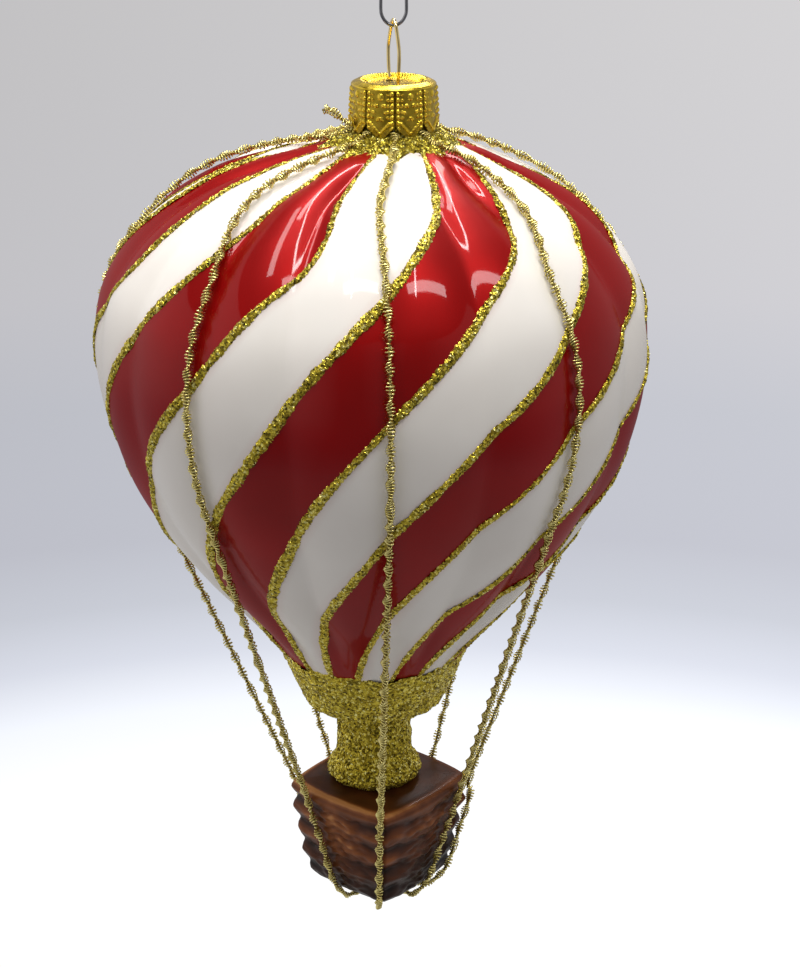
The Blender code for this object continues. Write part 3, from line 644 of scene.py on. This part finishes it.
def build_basket():
    """The basket with an attribute for its painted highlight and shade: high on the rim and raised edges and
    on the lit side, low in grooves, low down and away from the light, and 0 underneath.
    """
    angles = np.linspace(0, 2 * math.pi, BASKET_COLUMNS, endpoint=False)
    rings, relief_and_painted_light = [], []
    lit_side = 0.5 - 0.5 * np.sin(angles - 0.5)
    # How much each side faces the light, which sets the painted highlight and shade
    for scale, drop in BASKET_DOME:
        rings.append(around(BASKET_X, scale * basket_radius(angles, 0), angles, drop))
        # The rim's lacquer is rubbed lighter and carries a copper painted highlight, strongest on the lit
        # side
        rubbed_and_painted_highlight = (0.20 + 0.38 * lit_side) * eased(0.84, 0.93, scale) * (1 - 0.6 * eased(0.96, 1.0, scale))
        relief_and_painted_light.append(0.30 + rubbed_and_painted_highlight)
    for row in range(1, BASKET_ROWS + 1):
        share = BASKET_TOP_SHARE + (1 - BASKET_TOP_SHARE) * row / BASKET_ROWS
        radius = basket_radius(angles, share)
        height = wickerwork(angles, share)
        fade = 1 - eased(0.94, 1.0, share)
        rings.append(around(BASKET_X, radius + height * fade, angles,
                            BASKET_RIM_DROP + (BASKET_BOTTOM_DROP - BASKET_RIM_DROP) * share))
        # Raised wickerwork is painted lighter as a highlight and grooves darker as shade, and the side is
        # painted darker as shade low down and away from the light
        dark = eased(0.24, 0.86, share + 0.25 * (1 - lit_side) - 0.12)
        relief_and_painted_light.append((0.47 + 0.55 * height + 0.08 * lit_side) * (1 - 0.80 * dark))
    # The underside is painted black, as shade
    for scale, drop in BASKET_UNDERSIDE:
        rings.append(around(BASKET_X, scale * basket_radius(angles, 1.0), angles, drop))
        relief_and_painted_light.append(np.zeros(BASKET_COLUMNS))
    made = skin("lacquered_basket", rings)
    values = np.concatenate([value + 0 * angles for value in relief_and_painted_light]).astype(np.float32)
    made.data.attributes.new("relief_and_painted_light", "FLOAT", "POINT").data.foreach_set("value", values)
    return made


basket = build_basket()
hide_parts("basket")
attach(basket, "balloon")

brown, tree, shader = new_material("brown_lacquer")
relief_and_painted_light = node(tree, "ShaderNodeAttribute", attribute_name="relief_and_painted_light").outputs["Fac"]
# Random mottling over the painted highlight and shade
tone_with_painted_light = node(tree, "ShaderNodeMath", {1: 0.40}, operation="MULTIPLY_ADD")
tree.links.new(mottled(tree, 260, 4), tone_with_painted_light.inputs[0])
tree.links.new(relief_and_painted_light, tone_with_painted_light.inputs[2])
# From nearly black painted shade through brown lacquer to a copper painted highlight
tone = ramp(tree, tone_with_painted_light.outputs["Value"], (
    (0.18, (0.008, 0.005, 0.003)), (0.45, (0.052, 0.014, 0.004)), (0.68, (0.135, 0.036, 0.008)),
    (0.86, (0.26, 0.080, 0.020)), (1.00, (0.56, 0.24, 0.075)),
))
tree.links.new(tone, shader.inputs["Base Color"])
shader.inputs["Roughness"].default_value = 0.38
shader.inputs["Specular IOR Level"].default_value = 0.14
shader.inputs["Coat Weight"].default_value = 0.11
shader.inputs["Coat Roughness"].default_value = 0.10
basket.data.materials.append(brown)


# The crinkled wires
# Eight lengths of fine wire, wound into a flattened coil that is twisted again, with a thin dark tube inside
# each coil as painted shade. They start at a tie round the glass neck, lie in the creases, and pull tight
# over the basket's rim to a knot under it.
COIL_WIDTH = 1.75
COIL_DEPTH = 0.80
COIL_WIRE = 0.27
COIL_PITCH = 0.54
COIL_TWIST = 3.2
COIL_POINTS = 10
COIL_SIDES = 4
COIL_PULLED = 0.35
PULLED_LENGTHS = (14, 6)
PATH_STEP = 0.1
SHADE_CORE_RADIUS = 0.24
SHADE_CORE_STEP = 0.5
SHADE_CORE_SIDES = 6
KNOT_RADIUS = 3.1
TIE_RADIUS = 6.25
# Radius and drop
WIRE_START = (7.0, 7.75)
WIRE_FAN_RADII = (7.0, 16.0)
WIRE_TURN_DROPS = (12.5, 26.0)
WIRE_LIFT = 0.97
WIRE_OFF_BASKET = 1.15
WIRE_UNDER_BASKET = 0.85
# A wire touches the glass only where it is wider and higher than this
WIRE_LEAST_RADIUS = 8.5
WIRE_LOWEST_DROP = 102.6
# For each wire, in degrees: the cap's notch that it leaves by, its place on the shoulder and on the flank,
# where it meets the basket's rim, and where it is gathered below
WIRE_ROUTES = (
    (2, 3, 4, 1, 0), (42, 55, 44, 80, 46), (122, 112, 104, 98, 76), (162, 144, 140, 134, 140),
    (202, 184, 184, 184, 184), (242, 224, 224, 222, 225), (282, 254, 265, 264, 254),
    (322, 316, 323, 297, 318),
)


def beside_basket(angle, share, stand):
    """A point that stands off the basket's side, measured square to its slope."""
    height = BASKET_BOTTOM_DROP - BASKET_RIM_DROP
    fall = 0.04 * height
    run = float(basket_radius(angle, share - 0.02) - basket_radius(angle, share + 0.02))
    slant = math.hypot(fall, run)
    radius = float(basket_radius(angle, share)) + stand * fall / slant
    return around(BASKET_X, radius, angle, BASKET_RIM_DROP + height * share + stand * run / slant)


def wire_course(notch, shoulder, flank, rim, gather):
    """From the tie over the shoulder and down the flank, straight to the rim, and under the basket."""
    usable = np.where((glass_radius > WIRE_LEAST_RADIUS) & (glass_drop < WIRE_LOWEST_DROP))[0]
    rim_radius = float(basket_radius(rim, 0)) + WIRE_OFF_BASKET
    stands_out = glass_radius[usable] - rim_radius * math.cos(rim - flank)
    leaves = usable[(stands_out / (BASKET_RIM_DROP - glass_drop[usable])).argmax()]
    places = np.arange(usable[0], leaves + 1, 3, dtype=float)
    fan = np.where(down_glass(glass_drop, places) > WIDEST_DROP, 1.0,
                   eased(*WIRE_FAN_RADII, down_glass(glass_radius, places)))
    turn = eased(*WIRE_TURN_DROPS, down_glass(glass_drop, places))
    angles = notch + (shoulder - notch) * fan + (flank - shoulder) * turn
    laid = softened(on_glass(places, angles, WIRE_LIFT), 2)
    path = [around(0, WIRE_START[0], notch, WIRE_START[1])] + list(laid)
    beside = [beside_basket(rim + (gather - rim) * share, share, WIRE_OFF_BASKET)
              for share in np.linspace(0.03, 0.97, 9)]
    path += [path[-1] + (beside[0] - path[-1]) * share for share in (0.25, 0.5, 0.75)] + beside
    under = BASKET_BOTTOM_DROP + WIRE_UNDER_BASKET
    edge = float(basket_radius(gather, 1.0))
    path.append(around(BASKET_X, edge + 0.35 * WIRE_OFF_BASKET, gather, under - 0.25 * WIRE_OFF_BASKET))
    path.append(around(BASKET_X, 0.8 * edge, gather, under))
    path.append(around(BASKET_X, KNOT_RADIUS, gather, under))
    return catmull_rom(path, 10)


def square_to(path, level):
    """Two directions square to a path at each of its points, carried along it without a twist."""
    along = np.gradient(path, axis=0)
    along /= np.linalg.norm(along, axis=1)[:, None]
    side = np.zeros_like(path)
    side[0] = np.cross(along[0], level)
    side[0] /= np.linalg.norm(side[0])
    for i in range(1, len(path)):
        side[i] = side[i - 1] - along[i] * side[i - 1].dot(along[i])
        side[i] /= np.linalg.norm(side[i])
    return side, np.cross(along, side)


def coil_points(path, width, depth, pitch, seed, pulled=0.0):
    """The fine wire's own centreline, wound round a path into a flattened and twisted coil. Each turn lies
    square across the path and steps on to the next at one edge. The coil is pulled narrow where it ends."""
    path = evened(path, PATH_STEP * MM)
    side, up = square_to(path, (0, 0, 1.0))
    length = PATH_STEP * (len(path) - 1)
    rng = np.random.default_rng(seed)
    stretch = np.interp(np.arange(len(path)), np.linspace(0, len(path), 24), rng.uniform(-1, 1, 24))
    turns = np.cumsum(PATH_STEP / (pitch * (1 + 0.16 * stretch)))
    wound = np.linspace(0, turns[-1], int(turns[-1] * COIL_POINTS))
    stepped = np.floor(wound) + eased(0.7, 1.0, wound % 1)
    spot = np.interp(stepped, turns, np.arange(len(path)))
    low = np.floor(spot).astype(int)
    high = np.minimum(low + 1, len(path) - 1)
    share = (spot - low)[:, None]
    centre = path[low] * (1 - share) + path[high] * share
    side, up = side[low], up[low]
    uneven = np.interp(spot, np.linspace(0, len(path), 30), rng.uniform(-1, 1, 30))
    twist = (math.pi / COIL_TWIST * spot / (len(path) - 1) * length + seed * 1.7 + 1.2 * uneven)[:, None]
    broad = side * np.cos(twist) + up * np.sin(twist)
    thin = up * np.cos(twist) - side * np.sin(twist)
    wind = (2 * math.pi * wound)[:, None]
    pulled_from, pulled_to = (length - before_end for before_end in PULLED_LENGTHS)
    tight = 1 - pulled * eased(pulled_from, pulled_to, PATH_STEP * spot)[:, None]
    half_width = (width - COIL_WIRE) / 2 * MM * tight
    half_depth = (depth - COIL_WIRE) / 2 * MM
    return centre + broad * half_width * np.cos(wind) + thin * half_depth * np.sin(wind)


def tube(path, radius, sides):
    """Rings of points round a path, for a skin."""
    side, up = square_to(path, (0.31, 0.52, 0.79))
    turn = np.linspace(0, 2 * math.pi, sides, endpoint=False)
    return (path[:, None] + radius * (side[:, None] * np.cos(turn)[None, :, None]
                                      + up[:, None] * np.sin(turn)[None, :, None]))


pale_gold, tree, shader = new_material("pale_gold_wire")
tone = ramp(tree, mottled(tree, 700, 2), ((0.3, (0.66, 0.54, 0.16)), (0.7, (0.94, 0.83, 0.34))))
tree.links.new(tone, shader.inputs["Base Color"])
shader.inputs["Metallic"].default_value = 1.0
shader.inputs["Roughness"].default_value = 0.28

# Dark gold for the tube inside each coil, as painted shade
dark_gold, tree, shader = new_material("shaded_gold_wire")
tone = ramp(tree, mottled(tree, 900, 2), ((0.3, (0.20, 0.155, 0.04)), (0.7, (0.34, 0.27, 0.08))))
tree.links.new(tone, shader.inputs["Base Color"])
shader.inputs["Metallic"].default_value = 0.7
shader.inputs["Roughness"].default_value = 0.5


def coil_piece(name, path, width, depth, pitch, seed, pulled=0.0):
    """A coil and, as a piece of its own, a thin dark tube inside it, as painted shade."""
    shade_core = skin(f"{name}_core", tube(evened(path, SHADE_CORE_STEP * MM), SHADE_CORE_RADIUS * MM, SHADE_CORE_SIDES))
    shade_core.data.materials.append(dark_gold)
    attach(shade_core, "balloon")
    wound = coil_points(path, width, depth, pitch, seed, pulled)
    made = skin(name, tube(wound, COIL_WIRE / 2 * MM, COIL_SIDES))
    made.data.materials.append(pale_gold)
    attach(made, "balloon")
    return made


for number, route in enumerate(WIRE_ROUTES, start=1):
    course = wire_course(*(math.radians(angle) for angle in route))
    wire = coil_piece(f"crinkled_coil_{number}", course, COIL_WIDTH, COIL_DEPTH, COIL_PITCH, number,
                      COIL_PULLED)
    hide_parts(f"crinkle_wire_{number}")

tie_path = around(0, TIE_RADIUS, np.linspace(0, 2 * math.pi, 80), WIRE_START[1])
tie = coil_piece("coiled_tie", tie_path, 0.70, 0.66, 0.5, 11)
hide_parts("neck_tie")
knot_turn = np.linspace(0, 6 * math.pi, 160)
knot_path = around(BASKET_X, 1.55 - 0.12 * knot_turn / math.pi, knot_turn,
                   BASKET_BOTTOM_DROP + 0.95 + 0.05 * np.sin(3 * knot_turn))
knot = coil_piece("coiled_knot", knot_path, 1.10, 0.80, 0.5, 12)
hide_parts("wire_gather")
# The free end of the tie's wire, as radius, degrees and drop
TAIL_COURSE = (
    (6.6, -62, 7.6), (7.9, -66, 6.9), (9.0, -70, 6.0), (10.0, -76, 5.0), (10.9, -82, 4.7), (11.6, -86, 5.0),
)
tail_path = catmull_rom([around(0, radius, math.radians(angle), drop)
                         for radius, angle, drop in TAIL_COURSE], 10)
coil_piece("coil_tail", tail_path, COIL_WIDTH, COIL_DEPTH, COIL_PITCH, 13)


# The cap
# Thin brass is drawn into a cup, gilded, and stamped with nine petals: a column of beads down each side of
# a petal, a V of beads at its foot, and fine teeth round the sunk top.
CAP_RADIUS = 7.25
CAP_METAL = 0.35
CAP_PETALS = 9
CAP_SEAM = math.radians(2.0)
CAP_NOTCH_DROP = 5.9
CAP_TIP_DROP = 8.8
BEAD_SPACING = 0.93
CAP_COLUMNS = CAP_PETALS * 44
CAP_ROWS = 76
CAP_TEETH = 64
CAP_FLAT_RADIUS = 3.9
CAP_FLAT_DROPS = (0.64, 1.05)
CAP_TOP_OUTLINE = (
    (CAP_FLAT_RADIUS, CAP_FLAT_DROPS[0]), (4.3, 0.60), (4.7, 0.34), (5.1, 0.08), (5.5, 0.0), (5.9, 0.06),
    (6.25, 0.22), (6.55, 0.36), (6.85, 0.52), (7.0, 0.70),
)
LEG_SPREAD = 2.1
LOOP_YAW = math.radians(20)
CAP_HOLE = 0.62
HOLE_SIDES = 24


def bead(distance, size):
    """Height of a round bead at a distance from its middle."""
    return np.sqrt(np.clip(1 - (distance / size) ** 2, 0, 1))


def cap_edge(across):
    """Drop of the cap's lower edge, for places from -1 to 1 across a petal."""
    return CAP_NOTCH_DROP + (CAP_TIP_DROP - CAP_NOTCH_DROP) * (1 - np.abs(across)) ** 0.65


def stamping(across, drop):
    """Height of the stamped pattern on the cap's wall, in millimetres: rows of beads down a petal's sides,
    a crown, ovals, dots and an arch between them, and a V of beads below."""
    half = math.pi / CAP_PETALS * CAP_RADIUS
    x = across * half
    row = (drop - 0.8) % BEAD_SPACING - BEAD_SPACING / 2
    columns = bead(np.hypot(np.abs(x) - (half - 0.48), row), 0.36)
    inner = bead(np.hypot(np.abs(x) - (half - 1.18), row), 0.25) * (np.abs(drop - 3.4) < 2.2)
    crown = bead(np.hypot(x - 0.1, drop - 1.75), 0.56)
    ovals = bead(np.hypot((np.abs(x) - 0.66) / 1.5, drop - 3.1), 0.30)
    dots = bead(np.hypot(np.abs(x) - 0.95, drop - 4.2), 0.26)
    arch = bead(np.hypot(x, drop - 5.5) - 0.42, 0.20) * (drop < 5.5)
    vee_row = (drop * 1.35) % 0.62 - 0.31
    vee = bead(np.hypot(np.abs(x) - np.clip((7.7 - drop) * 0.9, 0, 1.6), vee_row * 0.7), 0.32)
    vee = vee * (drop > 5.8) * (drop < 7.9)
    seam = bead(np.abs(x) - half, 0.15) * (drop < CAP_NOTCH_DROP)
    pattern = (0.27 * columns + 0.17 * inner + 0.26 * crown + 0.20 * ovals + 0.16 * dots + 0.18 * arch
               + 0.26 * vee - 0.30 * seam)
    return pattern * eased(0.72, 0.95, drop)


def build_cap():
    """The cap, but for its flat, with an attribute for its painted highlight and shade: the stamping's
    height on the wall, high on the top and low inside.
    """
    angles = CAP_SEAM + np.linspace(0, 2 * math.pi, CAP_COLUMNS, endpoint=False)
    petal = ((angles - CAP_SEAM) / (2 * math.pi / CAP_PETALS)) % 1.0
    across = 2 * petal - 1
    edge = cap_edge(across)
    rings, heights = [], []
    for radius, drop in evened(catmull_rom(CAP_TOP_OUTLINE, 6), 0.12):
        teeth = 0.13 * np.sin(CAP_TEETH * angles) * (eased(4.1, 4.5, radius) - eased(5.1, 5.5, radius))
        rings.append(around(0, radius + 0 * angles, angles, drop - np.minimum(teeth, drop)))
        heights.append(np.minimum(teeth, 0) + 0.12)
    wall_top_radius, wall_top = CAP_TOP_OUTLINE[-1]
    for row in range(1, CAP_ROWS + 1):
        share = row / CAP_ROWS
        drop = wall_top + (edge - wall_top) * share
        flare = -0.10 * eased(CAP_NOTCH_DROP, CAP_TIP_DROP, drop)
        wall = wall_top_radius + (CAP_RADIUS - wall_top_radius) * eased(wall_top, 5.0, drop)
        pattern = stamping(across, drop)
        rings.append(around(0, wall + flare + pattern, angles, drop))
        heights.append(pattern)
    inner = CAP_RADIUS - CAP_METAL
    rings.append(around(0, inner - 0.1 + 0 * angles, angles, edge))
    for radius, drop in ((inner, 5.0), (inner - 0.3, 1.9), (6.3, 1.1), (6.0, 0.6), (5.5, 0.38), (5.1, 0.5),
                         (4.6, 0.9), (CAP_FLAT_RADIUS, CAP_FLAT_DROPS[1])):
        rings.append(around(0, radius + 0 * angles, angles, drop))
    made = skin("stamped_cap", rings)
    # The inside of the cup is set low, so that it is painted dark as shade
    heights += [-0.15 + 0 * angles] * (len(rings) - len(heights))
    made.data.attributes.new("stamp", "FLOAT", "POINT").data.foreach_set("value", np.ravel(heights))
    return made


def fill_flat(piece, holes):
    """Close the sunk flat of the cap, above and below, but for its round holes."""
    shape = bmesh.new()
    shape.from_mesh(piece.data)
    open_edges = [edge for edge in shape.edges if edge.is_boundary]
    rims = []
    for drop, up in zip(CAP_FLAT_DROPS, (1, -1)):
        z = CAP_TOP - drop * MM
        edges = [edge for edge in open_edges if abs(edge.verts[0].co.z - z) < 0.05 * MM]
        for x, y in holes:
            turns = np.linspace(0, 2 * math.pi, HOLE_SIDES, endpoint=False)
            rim = [shape.verts.new((x + CAP_HOLE * MM * math.cos(turn),
                                    y + CAP_HOLE * MM * math.sin(turn), z)) for turn in turns]
            edges += [shape.edges.new((rim[i - 1], rim[i])) for i in range(HOLE_SIDES)]
            rims.append(rim)
        bmesh.ops.triangle_fill(shape, use_beauty=True, edges=edges, normal=(0, 0, up))
    for upper, lower in zip(rims[:len(holes)], rims[len(holes):]):
        for i in range(HOLE_SIDES):
            shape.faces.new((upper[i - 1], upper[i], lower[i], lower[i - 1]))
    shape.to_mesh(piece.data)
    shape.free()


cap = build_cap()
fill_flat(cap, [(-side * LEG_SPREAD * MM * math.sin(LOOP_YAW), side * LEG_SPREAD * MM * math.cos(LOOP_YAW))
                for side in (-1, 1)])
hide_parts("cap")
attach(cap, "cap")

gilding, tree, shader = new_material("gold_cap")
rub = mottled(tree, 900, 3)
# The top ring and raised beads are light gold, and the plain wall, the grooves between the teeth and the
# inside of the cup are painted darker, as shade
bright = ramp(tree, rub, ((0.3, (0.65, 0.435, 0.03)), (0.7, (0.82, 0.595, 0.06))))
sunk = ramp(tree, rub, ((0.3, (0.24, 0.16, 0.012)), (0.7, (0.38, 0.27, 0.03))))
stamp = node(tree, "ShaderNodeAttribute", attribute_name="stamp").outputs["Fac"]
gold = node(tree, "ShaderNodeMix", data_type="RGBA")
tree.links.new(spread(tree, stamp, -0.03, 0.12), gold.inputs["Factor"])
tree.links.new(sunk, gold.inputs["A"])
tree.links.new(bright, gold.inputs["B"])
tree.links.new(gold.outputs["Result"], shader.inputs["Base Color"])
shader.inputs["Metallic"].default_value = 1.0
tree.links.new(spread(tree, rub, 0.3, 0.7, 0.20, 0.36), shader.inputs["Roughness"])
cap.data.materials.clear()
cap.data.materials.append(gilding)


# The spring wire loop
# One bright wire, bent double. Its legs go down through the two holes and spread inside the glass neck,
# and so hold the cap on.
LOOP_WIRE = 0.6
LOOP_SIDES = 12
LOOP_TOP = 9.2 + LOOP_WIRE / 2
# Half of the loop, from its top to the end of a leg, as distance from the middle and drop
LOOP_SIDE = (
    (0.0, -LOOP_TOP), (0.7, -LOOP_TOP + 0.4), (1.3, -LOOP_TOP + 1.3), (2.4, -LOOP_TOP + 4.0), (2.6, -3.8),
    (2.4, -1.6), (LEG_SPREAD, 0.0), (LEG_SPREAD, 1.2), (2.4, 4.0), (3.1, 7.2), (3.4, 9.5),
)


def loop_point(across, drop):
    """A point in the loop's own upright plane."""
    return (-across * MM * math.sin(LOOP_YAW), across * MM * math.cos(LOOP_YAW), CAP_TOP - drop * MM)


loop_path = catmull_rom([loop_point(-across, drop) for across, drop in LOOP_SIDE[:0:-1]]
                        + [loop_point(across, drop) for across, drop in LOOP_SIDE], 8)
loop = skin("wire_loop", tube(loop_path, LOOP_WIRE / 2 * MM, LOOP_SIDES))
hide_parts("hanger_loop")
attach(loop, "hanger")

bright_wire, tree, shader = new_material("gold_loop")
tone = ramp(tree, mottled(tree, 500, 2), ((0.3, (0.62, 0.46, 0.18)), (0.7, (0.85, 0.70, 0.34))))
tree.links.new(tone, shader.inputs["Base Color"])
shader.inputs["Metallic"].default_value = 1.0
shader.inputs["Roughness"].default_value = 0.14
loop.data.materials.append(bright_wire)


# The steel hook
# Thin dark steel wire with a closed eye below, which the loop hangs in, and a round bend above that goes
# over a branch.
HOOK_WIRE = 0.56
HOOK_SIDES = 12
HOOK_REACH = 34.0
HOOK_BEND_RADIUS = 5.0
HOOK_BEND_DROP = 5.04
EYE_WIDTH = 4.7
EYE_HEIGHT = 8.0


def hook_path():
    """The wire's middle, from the end that closes the eye, up the stem and over the bend."""
    half_wire = HOOK_WIRE / 2
    eye = EYE_WIDTH / 2 - half_wire
    low = -HOOK_REACH - half_wire
    bend = HOOK_BEND_RADIUS + half_wire
    points = [(1.2, low + EYE_HEIGHT), (1.9, low + 0.75 * EYE_HEIGHT)]
    for turn in np.linspace(0, math.pi, 7):
        points.append((eye * math.cos(turn), low + 1.3 * eye - 1.3 * eye * math.sin(turn)))
    points += [(-1.9, low + 0.75 * EYE_HEIGHT), (-1.0, low + EYE_HEIGHT + 0.5), (-0.9, low + 12.0),
               (-3.0, -13.5), (-5.0, -7.5)]
    for turn in np.linspace(math.pi, 0, 9):
        points.append((bend * math.cos(turn), -HOOK_BEND_DROP + bend * math.sin(turn)))
    points += [(5.1, -7.5), (4.2, -10.0)]
    return catmull_rom([(x * MM, 0, z * MM) for x, z in points], 8)


hook = skin("steel_wire_hook", tube(hook_path(), HOOK_WIRE / 2 * MM, HOOK_SIDES))
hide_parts("steel_hook")
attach(hook, "hook")

steel, tree, shader = new_material("dark_steel")
tone = ramp(tree, mottled(tree, 400, 2), ((0.3, (0.16, 0.16, 0.17)), (0.7, (0.30, 0.30, 0.31))))
tree.links.new(tone, shader.inputs["Base Color"])
shader.inputs["Metallic"].default_value = 1.0
shader.inputs["Roughness"].default_value = 0.16
hook.data.materials.append(steel)
